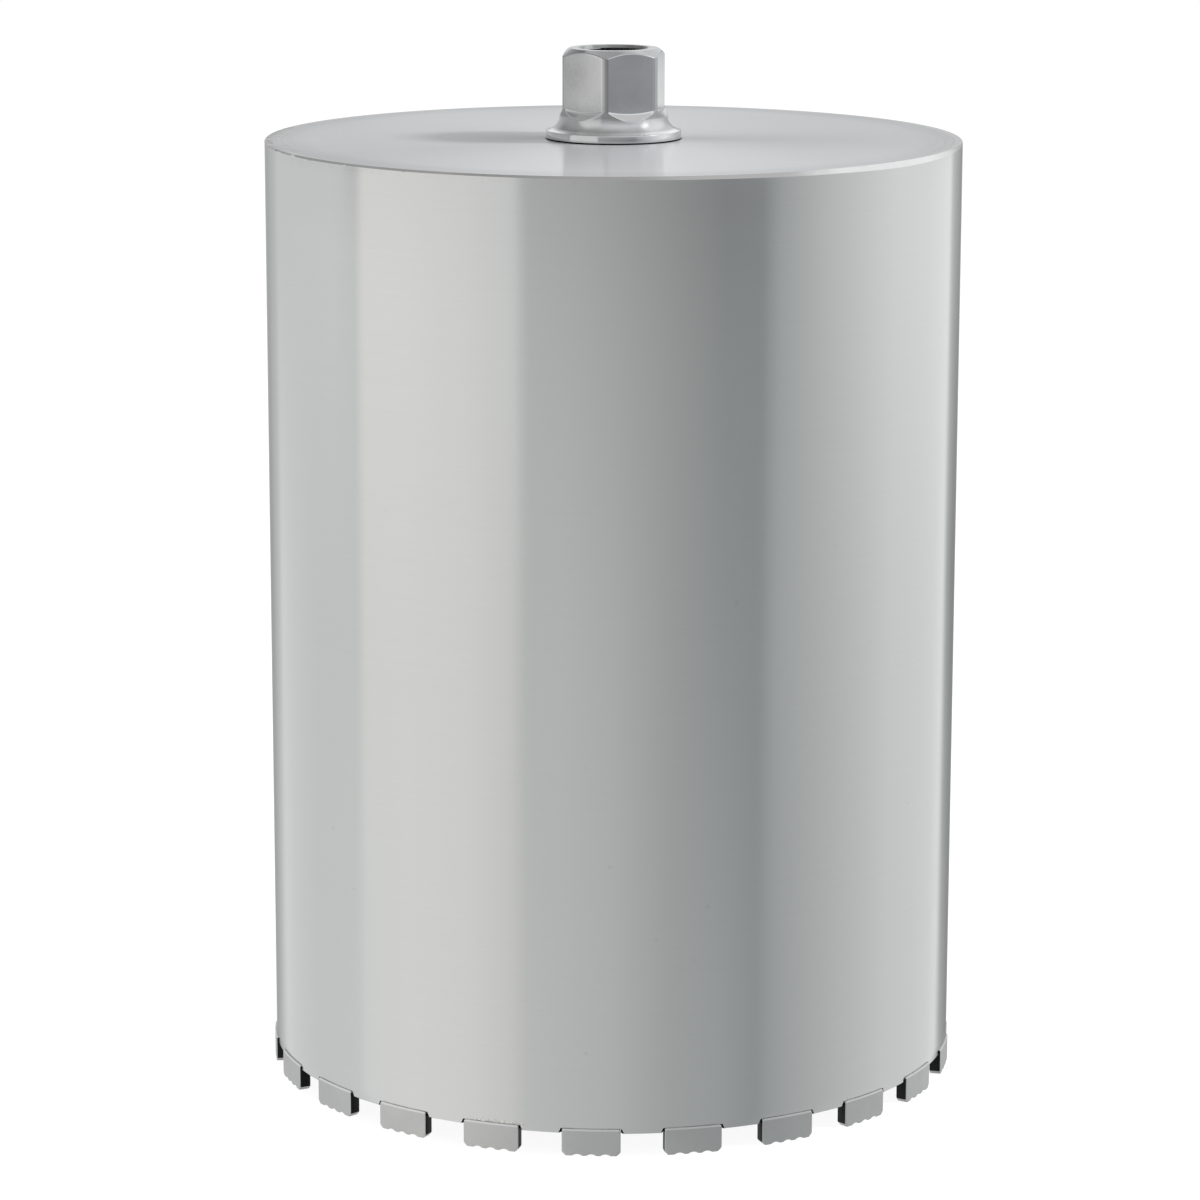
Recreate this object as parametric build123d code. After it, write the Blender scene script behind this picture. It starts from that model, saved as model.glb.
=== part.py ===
from build123d import *

import math
import os

# Wet diamond core bit for drilling round holes in concrete, in millimetres.
# The origin is on the bit's axis, in the plane of the cutting faces, and +Z points up to the hub.
# Azimuths are degrees about +Z, counted from -Y, and a positive azimuth turns towards +X.
# A thin steel barrel carries cutting segments let into its lower edge. Its top is closed by a
# plate welded in at the rim, and a threaded hexagon hub is welded into the middle of the plate.

# Overall sizes
CUT_DIAMETER = 300.0  # over the outer faces of the segments
DRILLING_DEPTH = 400.0  # from the cutting faces to the underside of the end plate

# Barrel
WALL = 3.0

# Segments
SEGMENT_COUNT = 22
SEGMENT_LENGTH = 24.5
SEGMENT_THICKNESS = 5.0
SEGMENT_HEIGHT = 11.6
SEGMENT_PROUD = 0.8  # outer face beyond the barrel's skin
FIRST_AZIMUTH = -3.2
END_CHAMFER = 1.6  # both lower end corners
TOP_CORNER_RADIUS = 1.0
EDGE_CHAMFER = 0.5  # lower edges, inside and outside
BEVEL_WIDTH = 0.4  # upper outer edge, measured along the radius
BEVEL_HEIGHT = 0.7
GROOVE_COUNT = 3  # shallow grooves moulded across the cutting face
GROOVE_PITCH = 5.9
GROOVE_WIDTH = 4.2
GROOVE_DEPTH = 0.75

# Seats of the segments in the barrel's lower edge
SEAT_DEPTH = 2.1
SEAT_FIT = 0.1  # clearance beside each end of a segment, in the inner part of the wall
SEAT_TOP_GAP = 0.5  # weld groove beside each end, on the barrel's skin, at the top of the seat
SEAT_MOUTH_GAP = 1.4  # the same at the barrel's lower edge
SEAT_GROOVE_DEPTH = 2.0  # how far that groove runs into the wall, at the lower edge

# End plate and its weld
PLATE_THICKNESS = 6.0
PLATE_FIT = 0.1  # radial clearance of the plate in the barrel
PLATE_LEAD_IN = 1.0  # chamfer on the plate's lower edge
RIM_WELD_DEPTH = 3.0  # how far the barrel ends below the top of the plate
RIM_CHAMFER = 1.5  # ground corner of the weld

# Hub
HUB_HEIGHT = 38.6  # above the plate
ACROSS_FLATS = 41.0
CORNER_BREAK = 0.47  # what turning takes off each sharp corner of the hexagon
CORNER_AZIMUTH = -9.0
TOP_FACE_INSET = 1.5  # from the flats in to the edge of the top face
TOP_CHAMFER_DROP = 3.2
FLANGE_DIAMETER = 58.0
FLANGE_THICKNESS = 3.7
FLANGE_EDGE = 0.4  # chamfer on the flange's upper edge
FLANGE_RELIEF_HEIGHT = 0.4  # undercut of the flange's rim, which leaves a dark line on the plate
FLANGE_RELIEF_WIDTH = 2.0
NECK_RADIUS = 6.2  # concave sweep from the flange to the hexagon
FLATS_FLOOR = 11.9  # lowest point of each flat above the plate
CUTTER_RADIUS = 50.0  # face mill that left the curved lower ends of the flats
THREAD_MINOR_DIAMETER = 28.0  # 1 1/4 inch, 7 turns to the inch
MOUTH_FLARE = 1.4  # countersink at the top of the thread, measured along the radius
MOUTH_DEPTH = 1.2
SPIGOT_DIAMETER = 40.0
SPIGOT_FIT = 0.1  # radial clearance of the spigot in the plate
SPIGOT_DROP = 4.5  # length of the spigot below the plate

# Weld under the plate
HUB_WELD_LEG = 4.0

# Sizes that follow from the ones above
CUT_RADIUS = CUT_DIAMETER / 2
BARREL_RADIUS = CUT_RADIUS - SEGMENT_PROUD
BARREL_BORE_RADIUS = BARREL_RADIUS - WALL
BARREL_BOTTOM = SEGMENT_HEIGHT - SEAT_DEPTH
PLATE_BOTTOM = DRILLING_DEPTH
PLATE_TOP = PLATE_BOTTOM + PLATE_THICKNESS
BARREL_TOP = PLATE_TOP - RIM_WELD_DEPTH
SEGMENT_BORE_RADIUS = CUT_RADIUS - SEGMENT_THICKNESS
PLATE_RADIUS = BARREL_BORE_RADIUS - PLATE_FIT
SPIGOT_RADIUS = SPIGOT_DIAMETER / 2
FLAT_COUNT = 6
FLAT_RADIUS = ACROSS_FLATS / 2
CORNER_RADIUS = FLAT_RADIUS / math.cos(math.pi / FLAT_COUNT) - CORNER_BREAK
SEGMENT_PITCH = 360 / SEGMENT_COUNT
PAST = 1.0  # how far a cutting tool runs past what it cuts


def turned(points):
    """Return the solid turned about the Z axis from a closed outline of (radius, height) points."""
    outline = Plane.XZ * make_face(Polyline(*points, close=True))
    return revolve(outline, Axis.Z)


def ring_section(inner_radius, outer_radius, bottom, top):
    """Return a rectangle in the plane of radius and height, as a sketch."""
    middle = ((inner_radius + outer_radius) / 2, (bottom + top) / 2)
    return Pos(*middle) * Rectangle(outer_radius - inner_radius, top - bottom)


def through_wall(outline, inner_radius, outer_radius):
    """Extrude an outline, drawn facing -Y, from one radius out to another."""
    start = Plane.XZ.offset(inner_radius)
    return extrude(start * outline, outer_radius - inner_radius)


def seat_groove_cutter():
    """Return the cutter for the tapering weld groove at the +X end of a seat, at azimuth 0."""
    top_reach = SEGMENT_LENGTH / 2 + SEAT_TOP_GAP
    root_to_skin = Vector(SEAT_MOUTH_GAP - SEAT_FIT, -SEAT_GROOVE_DEPTH, 0)
    down_the_skin = Vector(SEAT_MOUTH_GAP - SEAT_TOP_GAP, 0, -SEAT_DEPTH)
    away = root_to_skin.cross(down_the_skin)
    wall_face = Plane(origin=(top_reach, -BARREL_RADIUS, SEGMENT_HEIGHT), x_dir=root_to_skin, z_dir=away)
    on_segment_side = extrude(wall_face * Rectangle(60, 60), -60)
    height = SEAT_DEPTH + PAST
    half_seat = Pos(top_reach / 2, SEGMENT_HEIGHT - height / 2) * Rectangle(top_reach + 2 * PAST, height)
    block = through_wall(half_seat, BARREL_BORE_RADIUS - PAST, BARREL_RADIUS + PAST)
    return block & on_segment_side


def seat_cutter():
    """Return the cutter for one segment's seat in the barrel's lower edge, at azimuth 0."""
    height = SEAT_DEPTH + PAST
    half_length = SEGMENT_LENGTH / 2 + SEAT_FIT
    outline = Pos(0, SEGMENT_HEIGHT - height / 2) * Rectangle(2 * half_length, height)
    seat = through_wall(outline, BARREL_BORE_RADIUS - PAST, BARREL_RADIUS + PAST)
    groove = seat_groove_cutter()
    return seat + groove + mirror(groove, Plane.YZ)


def make_barrel_tube():
    """Return the barrel, a thin tube with one seat in its lower edge for each segment."""
    section = ring_section(BARREL_BORE_RADIUS, BARREL_RADIUS, BARREL_BOTTOM, BARREL_TOP)
    tube = revolve(Plane.XZ * section, Axis.Z)
    cutter = seat_cutter()
    cutters = [Rot(0, 0, azimuth) * cutter for azimuth in segment_azimuths()]
    return tube - cutters


def segment_azimuths():
    """Return the azimuth of each segment, evenly spaced round the barrel."""
    return [FIRST_AZIMUTH + index * SEGMENT_PITCH for index in range(SEGMENT_COUNT)]


def segment_outline():
    """Return a segment as seen from outside: chamfered lower corners and a grooved cutting edge."""
    outline = Pos(0, SEGMENT_HEIGHT / 2) * Rectangle(SEGMENT_LENGTH, SEGMENT_HEIGHT)
    outline = chamfer(outline.vertices().group_by(Axis.Y)[0], END_CHAMFER)
    outline = fillet(outline.vertices().group_by(Axis.Y)[-1], TOP_CORNER_RADIUS)
    groove_radius = (GROOVE_WIDTH**2 / 4 + GROOVE_DEPTH**2) / (2 * GROOVE_DEPTH)
    first_groove = -(GROOVE_COUNT - 1) / 2 * GROOVE_PITCH
    for index in range(GROOVE_COUNT):
        centre = (first_groove + index * GROOVE_PITCH, GROOVE_DEPTH - groove_radius)
        outline -= Pos(*centre) * Circle(groove_radius)
    return outline


def segment_ring():
    """Return the ring that the segments are cut from, with its chamfered and bevelled edges."""
    section = ring_section(SEGMENT_BORE_RADIUS, CUT_RADIUS, 0, SEGMENT_HEIGHT)
    section = chamfer(section.vertices().group_by(Axis.Y)[0], EDGE_CHAMFER)
    top_outer_corner = section.vertices().group_by(Axis.Y)[-1].sort_by(Axis.X)[-1]
    section = chamfer(top_outer_corner, BEVEL_WIDTH, BEVEL_HEIGHT)
    return revolve(Plane.XZ * section, Axis.Z)


def make_segment():
    """Return one cutting segment at azimuth 0, seated under the barrel."""
    block = through_wall(segment_outline(), SEGMENT_BORE_RADIUS - PAST, CUT_RADIUS + PAST)
    return block & segment_ring()


def make_end_plate():
    """Return the disc that closes the barrel, with a hole for the hub's spigot."""
    section = ring_section(SPIGOT_RADIUS + SPIGOT_FIT, PLATE_RADIUS, PLATE_BOTTOM, PLATE_TOP)
    lower_outer_corner = section.vertices().group_by(Axis.Y)[0].sort_by(Axis.X)[-1]
    section = chamfer(lower_outer_corner, PLATE_LEAD_IN)
    return revolve(Plane.XZ * section, Axis.Z)


def make_rim_weld():
    """Return the ground weld that fills the corner between the barrel's end and the plate."""
    section = ring_section(PLATE_RADIUS, BARREL_RADIUS, BARREL_TOP, PLATE_TOP)
    top_outer_corner = section.vertices().group_by(Axis.Y)[-1].sort_by(Axis.X)[-1]
    section = chamfer(top_outer_corner, RIM_CHAMFER)
    return revolve(Plane.XZ * section, Axis.Z)


def hub_outline():
    """Return the hub's turned outline in the plane of radius and height, as a sketch."""
    seat = PLATE_TOP
    top = seat + HUB_HEIGHT
    spigot_bottom = PLATE_BOTTOM - SPIGOT_DROP
    flange_radius = FLANGE_DIAMETER / 2
    relief_radius = flange_radius - FLANGE_RELIEF_WIDTH
    shoulder = flange_radius - FLANGE_EDGE
    bore_radius = THREAD_MINOR_DIAMETER / 2
    neck_start = (min(CORNER_RADIUS + NECK_RADIUS, shoulder), seat + FLANGE_THICKNESS)
    neck_end = (CORNER_RADIUS, seat + FLANGE_THICKNESS + NECK_RADIUS)
    below_neck = [
        (bore_radius, spigot_bottom),
        (SPIGOT_RADIUS, spigot_bottom),
        (SPIGOT_RADIUS, seat),
        (relief_radius, seat),
        (relief_radius, seat + FLANGE_RELIEF_HEIGHT),
        (flange_radius, seat + FLANGE_RELIEF_HEIGHT),
        (flange_radius, seat + FLANGE_THICKNESS - FLANGE_EDGE),
        (shoulder, seat + FLANGE_THICKNESS),
    ]
    if neck_start[0] < shoulder:
        below_neck.append(neck_start)
    neck = TangentArc(neck_end, below_neck[-1], tangent=(0, -1))
    above_neck = [
        neck_end,
        (CORNER_RADIUS, top - TOP_CHAMFER_DROP),
        (FLAT_RADIUS - TOP_FACE_INSET, top),
        (bore_radius + MOUTH_FLARE, top),
        (bore_radius, top - MOUTH_DEPTH),
        (bore_radius, spigot_bottom),
    ]
    return make_face(Curve() + [Polyline(*below_neck), neck, Polyline(*above_neck)])


def flat_cutter():
    """Return the path of the face mill that cuts one flat: a disc with a 45 degree rim."""
    depth = FLANGE_DIAMETER / 2 - FLAT_RADIUS
    on_end = (Align.CENTER, Align.CENTER, Align.MIN)
    cutter = Cone(CUTTER_RADIUS, CUTTER_RADIUS + depth, depth, align=on_end)
    height = PLATE_TOP + FLATS_FLOOR + CUTTER_RADIUS
    return Pos(0, -FLAT_RADIUS, height) * Rot(90, 0, 0) * cutter


def make_hub():
    """Return the hub: turned flange, neck and spigot, six milled flats and the thread's bore."""
    hub = revolve(Plane.XZ * hub_outline(), Axis.Z)
    cutter = flat_cutter()
    first_flat = CORNER_AZIMUTH + 360 / FLAT_COUNT / 2
    flats = [Rot(0, 0, first_flat + index * 360 / FLAT_COUNT) * cutter for index in range(FLAT_COUNT)]
    return hub - flats


def make_hub_weld():
    """Return the fillet weld that holds the hub's spigot under the plate."""
    root = (SPIGOT_RADIUS, PLATE_BOTTOM)
    plate_toe = (SPIGOT_RADIUS + HUB_WELD_LEG, PLATE_BOTTOM)
    spigot_toe = (SPIGOT_RADIUS, PLATE_BOTTOM - HUB_WELD_LEG)
    return turned([root, plate_toe, spigot_toe])


def save(name, shape):
    """Write one sub-part to its own STEP file."""
    shape.label = name
    export_step(shape, f"parts/{name}.step")


def main():
    os.makedirs("parts", exist_ok=True)
    save("barrel_tube", make_barrel_tube())
    save("end_plate", make_end_plate())
    save("rim_weld", make_rim_weld())
    save("hub", make_hub())
    save("hub_weld", make_hub_weld())
    segment = make_segment()
    for number, azimuth in enumerate(segment_azimuths(), start=1):
        save(f"segment_{number:02d}", Rot(0, 0, azimuth) * segment)


main()
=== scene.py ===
import math

import bmesh
import bpy
from mathutils import Matrix, Vector


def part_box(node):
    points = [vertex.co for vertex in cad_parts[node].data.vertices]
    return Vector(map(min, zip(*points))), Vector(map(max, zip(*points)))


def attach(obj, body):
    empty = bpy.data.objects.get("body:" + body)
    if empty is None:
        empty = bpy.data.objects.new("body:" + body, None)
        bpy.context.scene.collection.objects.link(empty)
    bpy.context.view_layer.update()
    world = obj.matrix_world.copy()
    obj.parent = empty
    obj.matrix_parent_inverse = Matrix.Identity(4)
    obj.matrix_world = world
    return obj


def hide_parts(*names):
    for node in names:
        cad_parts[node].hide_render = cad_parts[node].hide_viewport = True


# Looks of a wet diamond core bit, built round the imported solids, in metres.
# Azimuths are counted from -Y and grow towards +X, as in the part's own frame.

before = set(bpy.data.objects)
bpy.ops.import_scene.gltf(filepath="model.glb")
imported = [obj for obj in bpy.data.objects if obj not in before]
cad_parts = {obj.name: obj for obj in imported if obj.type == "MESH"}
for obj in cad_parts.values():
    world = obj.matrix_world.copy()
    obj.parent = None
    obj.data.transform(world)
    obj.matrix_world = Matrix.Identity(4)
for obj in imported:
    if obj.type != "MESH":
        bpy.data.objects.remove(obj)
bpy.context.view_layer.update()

MM = 0.001
TURN = 2 * math.pi

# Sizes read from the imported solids
tube_low, tube_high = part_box("barrel_tube")
plate_low, plate_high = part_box("end_plate")
hub_low, hub_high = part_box("hub")
BARREL_RADIUS = tube_high[0]
BARREL_BOTTOM = tube_low[2]
BARREL_TOP = tube_high[2]
PLATE_RADIUS = plate_high[0]
PLATE_BOTTOM = plate_low[2]
PLATE_TOP = plate_high[2]
HUB_TOP = hub_high[2]
HUB_BOTTOM = hub_low[2]
CUT_RADIUS = 150.0 * MM

# Barrel
WALL = 3.0 * MM
BARREL_BORE_RADIUS = BARREL_RADIUS - WALL
BARREL_EDGE = 0.35 * MM
BARREL_ROWS = (0.33, 0.26, 0.19, 0.13, 0.08, 0.05, 0.035, 0.027, 0.021, 0.017, 0.0145)

# Segments and their seats
SEGMENT_COUNT = 22
SEGMENT_PITCH = TURN / SEGMENT_COUNT
FIRST_AZIMUTH = math.radians(-3.2)
SEGMENT_LENGTH = 24.5 * MM
SEGMENT_THICKNESS = 5.0 * MM
SEGMENT_HEIGHT = 11.6 * MM
SEAT_FIT = 0.1 * MM
SEAT_TOP_GAP = 0.5 * MM
SEAT_MOUTH_GAP = 1.4 * MM
SEAT_GROOVE_DEPTH = 2.0 * MM
SEAT_EDGE = 0.08 * MM
STEP_WIDTH = 0.01 * MM
END_CHAMFER = 1.6 * MM
TOP_CORNER_RADIUS = 1.0 * MM
GROOVE_COUNT = 3
GROOVE_PITCH = 5.9 * MM
GROOVE_WIDTH = 4.2 * MM
GROOVE_DEPTH = 0.75 * MM
BEVEL_WIDTH = 0.4 * MM
BEVEL_HEIGHT = 0.7 * MM
LOWER_EDGE = 0.5 * MM
INNER_EDGE = 0.3 * MM
END_EDGE = 0.3 * MM

# Plate
SPIGOT_FIT = 0.1 * MM
PLATE_LEAD_IN = 1.0 * MM
MARGIN_START = 126.0 * MM
MARGIN_END = 147.0 * MM
STAIN_START = 132.0 * MM
STAIN_RIGHT_END = -115.0 * MM

# Hub
ACROSS_FLATS = 41.0 * MM
FLAT_COUNT = 6
CORNER_AZIMUTH = math.radians(-9.0)
CORNER_BREAK = 0.47 * MM
CORNER_RADIUS = ACROSS_FLATS / 2 / math.cos(math.pi / FLAT_COUNT) - CORNER_BREAK
TOP_FACE_INSET = 1.5 * MM
TOP_FACE_RADIUS = ACROSS_FLATS / 2 - TOP_FACE_INSET
TOP_CHAMFER_DROP = 3.2 * MM
FLANGE_RADIUS = hub_high[0]
FLANGE_THICKNESS = 3.7 * MM
FLANGE_EDGE = 0.4 * MM
FLANGE_RELIEF_HEIGHT = 0.4 * MM
FLANGE_RELIEF_WIDTH = 2.0 * MM
NECK_RADIUS = 6.2 * MM
FLATS_FLOOR = 11.9 * MM
CUTTER_RADIUS = 50.0 * MM
FLAT_EDGE = 0.35 * MM
SCOOP_EDGE = 0.5 * MM
SCOOP_TOP = 18.0 * MM
SPIGOT_RADIUS = 20.0 * MM
HUB_WELD_LEG = 4.0 * MM
THREAD_CREST_RADIUS = 14.0 * MM
THREAD_DEPTH = 1.6 * MM
THREAD_PITCH = 25.4 * MM / 7
THREAD_RELIEF = 0.2 * MM
MOUTH_FLARE = 1.4 * MM
MOUTH_RADIUS = THREAD_CREST_RADIUS + MOUTH_FLARE
MOUTH_DEPTH = 1.2 * MM

# Camera, from the outlines of the barrel, plate, hub and segments in the photograph
CAMERA_DISTANCE = 1.84614
CAMERA_HEIGHT = 0.59594
CAMERA_PITCH = math.radians(11.995)
CAMERA_YAW = math.radians(0.170)
CAMERA_ROLL = math.radians(0.0986)
LENS = 129.24
SENSOR = 36.0


def grid_mesh(name, rows, ring, loop, caps=False):
    """Build a mesh from rows of points; ring joins the last row to the first, loop closes each row."""
    mesh = bmesh.new()
    verts = [[mesh.verts.new(point) for point in row] for row in rows]
    row_count = len(rows)
    width = len(rows[0])
    for i in range(row_count if ring else row_count - 1):
        for j in range(width if loop else width - 1):
            here = verts[i]
            there = verts[(i + 1) % row_count]
            k = (j + 1) % width
            mesh.faces.new((here[j], there[j], there[k], here[k]))
    if caps:
        mesh.faces.new(verts[0])
        mesh.faces.new(tuple(reversed(verts[-1])))
    bmesh.ops.recalc_face_normals(mesh, faces=mesh.faces)
    data = bpy.data.meshes.new(name)
    mesh.to_mesh(data)
    mesh.free()
    return data


def new_object(name, data, sharp_degrees=30):
    """Link a smooth-shaded object whose edges stay sharp above the given angle."""
    data.polygons.foreach_set("use_smooth", [True] * len(data.polygons))
    data.set_sharp_from_angle(angle=math.radians(sharp_degrees))
    piece = bpy.data.objects.new(name, data)
    bpy.context.scene.collection.objects.link(piece)
    return piece


def around(azimuth, radius, height):
    """Return the point at an azimuth, a radius and a height."""
    return (radius * math.sin(azimuth), -radius * math.cos(azimuth), height)


def swept(name, azimuths, section):
    """Sweep a closed section of (radius, height) points, which may change, round the Z axis."""
    rows = [[around(azimuth, r, z) for r, z in section(azimuth)] for azimuth in azimuths]
    return grid_mesh(name, rows, True, True)


def evenly(start, end, count):
    """Return count values from start up to, but without, end."""
    return [start + (end - start) * i / count for i in range(count)]


def stepped(start, end, count):
    """Return count values from the first one after start up to and with end."""
    return [start + (end - start) * i / count for i in range(1, count + 1)]


def corner(r, z, dr, dz):
    """Return the points of a quarter round at the corner (r, z), from its side to its end."""
    steps = 3
    points = []
    for i in range(steps + 1):
        angle = math.pi / 2 * i / steps
        points.append((r - dr * (1 - math.cos(angle)), z - dz * (1 - math.sin(angle))))
    return points


# Barrel


def barrel_azimuths():
    """Return the azimuths of the barrel's columns, with close ones at both ends of each seat."""
    end = SEGMENT_LENGTH / 2 + SEAT_FIT
    top = SEGMENT_LENGTH / 2 + SEAT_TOP_GAP
    mouth = SEGMENT_LENGTH / 2 + SEAT_MOUTH_GAP
    seat = evenly(0, end, 12)[1:] + [end, end + STEP_WIDTH]
    groove = evenly(end, top, 3)[1:] + evenly(top, mouth, 6) + [mouth, mouth + STEP_WIDTH]
    half = [offset / BARREL_RADIUS for offset in seat + groove]
    land = evenly(half[-1], SEGMENT_PITCH / 2, 8)[1:]
    offsets = [-value for value in reversed(half + land)] + [0.0] + half + land + [SEGMENT_PITCH / 2]
    found = []
    for index in range(SEGMENT_COUNT):
        middle = FIRST_AZIMUTH + index * SEGMENT_PITCH
        found += [middle + offset for offset in offsets]
    return found


def lower_edge(offset):
    """Return the skin's foot, the groove's two depths and the wall's foot at an arc length from a seat."""
    seat_end = SEGMENT_LENGTH / 2 + SEAT_FIT
    top = SEGMENT_LENGTH / 2 + SEAT_TOP_GAP
    mouth = SEGMENT_LENGTH / 2 + SEAT_MOUTH_GAP
    offset = abs(offset)
    if offset <= seat_end + STEP_WIDTH / 2:
        return SEGMENT_HEIGHT, 0.0, 0.0, SEGMENT_HEIGHT
    if offset >= mouth:
        return BARREL_BOTTOM, 0.0, 0.0, BARREL_BOTTOM
    slope = SEAT_GROOVE_DEPTH / (SEAT_MOUTH_GAP - SEAT_FIT)
    depth_below = (mouth - offset) * slope
    if offset < top:
        return SEGMENT_HEIGHT, (top - offset) * slope, depth_below, BARREL_BOTTOM
    seat_depth = SEGMENT_HEIGHT - BARREL_BOTTOM
    skin_foot = BARREL_BOTTOM + seat_depth * (mouth - offset) / (mouth - top)
    return skin_foot, 0.0, depth_below, BARREL_BOTTOM


def barrel_section(azimuth):
    """Return the barrel's section at an azimuth, outer wall first, from the top down."""
    along = (azimuth - FIRST_AZIMUTH + SEGMENT_PITCH / 2) % SEGMENT_PITCH - SEGMENT_PITCH / 2
    skin_foot, depth_above, depth_below, foot = lower_edge(along * BARREL_RADIUS)
    heights = (BARREL_TOP,) + BARREL_ROWS
    points = [(BARREL_RADIUS, height) for height in heights]
    edge = BARREL_EDGE if skin_foot == BARREL_BOTTOM else SEAT_EDGE
    points.append((BARREL_RADIUS, skin_foot + edge))
    points += corner(BARREL_RADIUS, skin_foot, edge, -edge)[1:-1]
    points.append((BARREL_RADIUS - max(edge, depth_above), skin_foot))
    points.append((BARREL_RADIUS - max(edge * 1.1, depth_above + STEP_WIDTH), skin_foot))
    points.append((BARREL_RADIUS - max(edge * 1.2, depth_below), foot))
    points += reversed(corner(BARREL_BORE_RADIUS, foot, -BARREL_EDGE, -BARREL_EDGE))
    points += [(BARREL_BORE_RADIUS, height) for height in reversed(heights)]
    return points


def make_barrel():
    """Build the tube with its 22 seats and the grooves beside them."""
    data = swept("barrel", barrel_azimuths(), barrel_section)
    return new_object("barrel", data)


# Plate and its rim weld


def make_plate():
    """Build the disc with its hole for the hub's spigot."""
    inner = SPIGOT_RADIUS + SPIGOT_FIT
    section = [(inner, PLATE_TOP)]
    section += [(radius, PLATE_TOP) for radius in stepped(inner, PLATE_RADIUS, 24)]
    section.append((PLATE_RADIUS, PLATE_BOTTOM + PLATE_LEAD_IN))
    section.append((PLATE_RADIUS - PLATE_LEAD_IN, PLATE_BOTTOM))
    section.append((inner, PLATE_BOTTOM))
    data = swept("plate", evenly(0, TURN, 360), lambda azimuth: section)
    return new_object("plate", data)


# The rim weld's ground corner: azimuth in degrees and chamfer in millimetres
RIM_STOPS = (
    (-180, 0.3), (-120, 0.3), (-90, 0.4), (-70, 0.6), (-58, 0.8), (-20, 0.9), (-5, 1.1), (12, 1.4),
    (35, 1.8), (52, 2.2), (66, 1.8), (77, 0.9), (84, 0.4), (130, 0.3), (180, 0.3),
)

# Nicks in it: azimuth and half width in degrees, and what is added to the chamfer in millimetres
RIM_NICKS = (
    (-71.0, 0.5, 0.3), (-62.5, 1.2, -0.7), (-56.5, 0.5, 0.3), (-47.0, 0.5, -0.4), (-34.3, 0.4, 0.3),
)


def between(stops, value):
    """Return the value of a smooth curve through (place, value) stops."""
    for (x0, y0), (x1, y1) in zip(stops, stops[1:]):
        if x0 <= value <= x1:
            t = (value - x0) / (x1 - x0)
            return y0 + (y1 - y0) * t * t * (3 - 2 * t)
    return stops[-1][1]


def rim_section(azimuth):
    """Return the rim weld's section, whose ground corner is uneven round the rim."""
    degrees = (math.degrees(azimuth) + 180) % 360 - 180
    chamfer = between(RIM_STOPS, degrees)
    for middle, width, extra in RIM_NICKS:
        chamfer += extra * max(0.0, 1 - abs(degrees - middle) / width)
    chamfer *= MM
    outer = BARREL_RADIUS
    return [
        (PLATE_RADIUS, PLATE_TOP),
        (outer - chamfer, PLATE_TOP),
        (outer, PLATE_TOP - chamfer),
        (outer, BARREL_TOP),
        (PLATE_RADIUS, BARREL_TOP),
    ]


def make_rim_weld():
    """Build the ring of weld between the barrel's end and the plate."""
    data = swept("rim", evenly(0, TURN, 1440), rim_section)
    return new_object("rim", data)


# Hub


def hub_turned_radius(height):
    """Return the radius that turning left at a height above the plate."""
    if height < FLANGE_RELIEF_HEIGHT:
        return FLANGE_RADIUS - FLANGE_RELIEF_WIDTH
    if height < FLANGE_THICKNESS:
        return FLANGE_RADIUS
    neck_top = FLANGE_THICKNESS + NECK_RADIUS
    if height < neck_top:
        down = neck_top - height
        across = NECK_RADIUS - math.sqrt(max(0.0, NECK_RADIUS**2 - down**2))
        return CORNER_RADIUS + across
    below_top = HUB_TOP - PLATE_TOP - height
    if below_top < TOP_CHAMFER_DROP:
        share = below_top / TOP_CHAMFER_DROP
        return TOP_FACE_RADIUS + (CORNER_RADIUS - TOP_FACE_RADIUS) * share
    return CORNER_RADIUS


def soft_min(a, b, width):
    """Return the smaller of two values, rounded where they are nearly equal."""
    gap = max(0.0, width - abs(a - b)) / width
    return min(a, b) - gap * gap * width / 4


def flat_distance(height, across):
    """Return how far from the axis a milled flat lies, at a height and a place across it."""
    up = height - (FLATS_FLOOR + CUTTER_RADIUS)
    reach = math.hypot(up, across)
    return ACROSS_FLATS / 2 - soft_min(0.0, CUTTER_RADIUS - reach, SCOOP_EDGE)


def hub_radius(azimuth, height):
    """Return the hub's outer radius above the flange, found by rounds that each come nearer."""
    rounds = 6
    radius = hub_turned_radius(height)
    step = TURN / FLAT_COUNT
    first = CORNER_AZIMUTH + step / 2
    angle = (azimuth - first + step / 2) % step - step / 2
    milled = radius
    for _ in range(rounds):
        distance = flat_distance(height, milled * math.sin(angle))
        milled = min(radius * 1.2, distance / math.cos(angle))
    return soft_min(radius, milled, FLAT_EDGE)


def hub_heights():
    """Return the heights above the plate of the hub's rows, from the flange's upper edge up."""
    top = HUB_TOP - PLATE_TOP
    neck_top = FLANGE_THICKNESS + NECK_RADIUS
    foot = math.asin(1 - (FLANGE_RADIUS - FLANGE_EDGE - CORNER_RADIUS) / NECK_RADIUS)
    angles = [foot] + stepped(foot, math.pi / 2, 30)
    rows = [neck_top - NECK_RADIUS * math.cos(angle) for angle in angles]
    below_chamfer = top - TOP_CHAMFER_DROP - 1.0 * MM
    rows += stepped(neck_top, SCOOP_TOP, 36)
    rows += stepped(SCOOP_TOP, below_chamfer, 12)
    rows += stepped(below_chamfer, top, 34)
    return rows


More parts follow.
